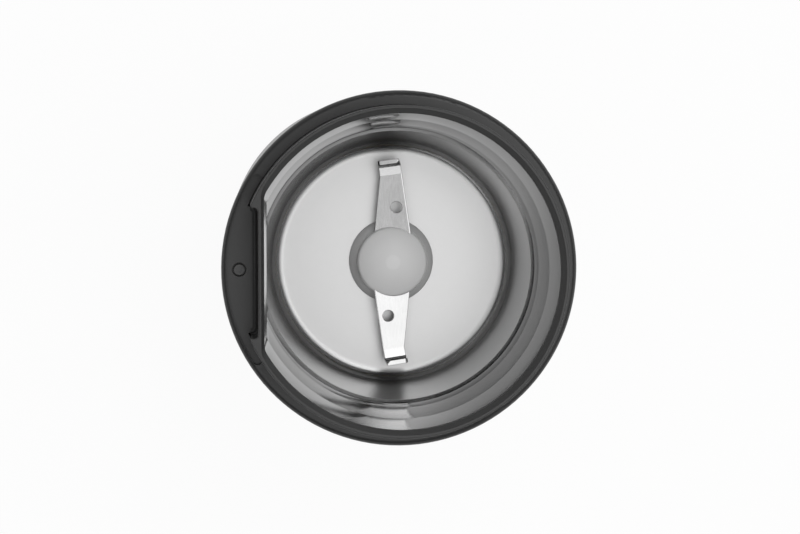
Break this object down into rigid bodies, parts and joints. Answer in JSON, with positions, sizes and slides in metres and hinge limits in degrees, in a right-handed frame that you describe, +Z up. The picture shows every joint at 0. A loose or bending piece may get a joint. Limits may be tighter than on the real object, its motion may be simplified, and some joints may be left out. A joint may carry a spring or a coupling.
{
  "type": "electric coffee grinder",
  "caption": "Round dark blade coffee grinder without its lid: flat-sided stainless bowl, winged blade under a grey hub cap, and a safety pin in a front pocket.",
  "frame": {"origin": "on the table under the shaft, in the middle of the four feet", "axes": "+Z up along the shaft, -Y to the front with the safety pin, +Y to the cord inlet"},
  "size_m": [0.0899, 0.09, 0.1278],
  "materials": {
    "dark_plastic": "fine satin grain",
    "bowl_steel": "polished stainless",
    "blade_steel": "satin stainless with ground edges",
    "grey_plastic": "satin",
    "seal_rubber": "satin",
    "black_rubber": "matt",
    "inner_plastic": "matt glass-filled",
    "pin_plastic": "satin",
    "zinc_steel": "zinc plated",
    "spring_steel": "drawn wire",
    "shaft_steel": "ground",
    "core_steel": "stacked laminations",
    "copper_wire": "enamelled",
    "commutator_copper": "turned",
    "brass": "turned",
    "bronze": "sintered",
    "cast_aluminium": "as cast",
    "carbon": "pressed graphite",
    "switch_plastic": "matt",
    "plunger_plastic": "moulded",
    "capacitor_case": "moulded",
    "block_nylon": "natural nylon",
    "lead_insulation": "soft vinyl"
  },
  "bodies": {
    "housing": {"base_cover": "dark_plastic", "base_screws": "zinc_steel", "block_screws": "zinc_steel", "body_shell": "dark_plastic", "bowl_collar": "dark_plastic", "bowl_gasket": "black_rubber", "bowl_seat": "black_rubber", "brush_caps": "inner_plastic", "brush_holders": "brass", "brush_springs": "spring_steel", "carbon_brushes": "carbon", "chassis_screws": "zinc_steel", "cord_gland": "black_rubber", "damper_screws": "zinc_steel", "field_coils": "copper_wire", "grinding_bowl": "bowl_steel", "holder_screws": "zinc_steel", "lower_bearing": "bronze", "lower_bracket": "cast_aluminium", "motor_chassis": "inner_plastic", "motor_dampers": "black_rubber", "motor_leads": "lead_insulation", "motor_screws": "zinc_steel", "pin_retainer": "inner_plastic", "pin_spring": "spring_steel", "rubber_feet": "black_rubber", "shaft_seal": "seal_rubber", "stator_core": "core_steel", "suppression_capacitor": "capacitor_case", "switch_body": "switch_plastic", "switch_holder": "inner_plastic", "switch_screws": "zinc_steel", "switch_terminals": "brass", "terminal_block": "block_nylon", "upper_bearing": "bronze", "upper_bracket": "cast_aluminium"},
    "rotor": {"motor_shaft": "shaft_steel", "shaft_washers": "zinc_steel", "armature_core": "core_steel", "armature_winding": "copper_wire", "commutator": "commutator_copper", "cooling_fan": "inner_plastic", "hub_insert": "brass", "blade": "blade_steel", "hub_cap": "grey_plastic"},
    "pin": {"safety_pin": "pin_plastic"},
    "lever": {"switch_lever": "spring_steel"},
    "plunger": {"switch_plunger": "plunger_plastic"}
  },
  "joints": [
    {"name": "blade_spin", "type": "hinge", "parent": "housing", "child": "rotor", "pos_m": [0, 0, 0], "axis": [0, 0, 1], "continuous": true},
    {"name": "pin_press", "type": "slide", "parent": "housing", "child": "pin", "axis": [0, 0, -1], "range_m": [0, 0.0025], "stiffness_N_per_m": 400, "springref_m": -0.003, "deforming": ["pin_spring"]},
    {"name": "lever_swing", "type": "hinge", "parent": "housing", "child": "lever", "pos_m": [-0.009, -0.038, 0.09356], "axis": [0, 1, 0], "range_deg": [0, 15.92]},
    {"name": "plunger_press", "type": "slide", "parent": "housing", "child": "plunger", "axis": [0, 0, -1], "range_m": [0, 0.00085]}
  ],
  "couplings": [
    {"joint": "lever_swing", "follows": "pin_press", "rad_per_m": 111.11},
    {"joint": "plunger_press", "follows": "pin_press", "ratio": 0.34}
  ]
}
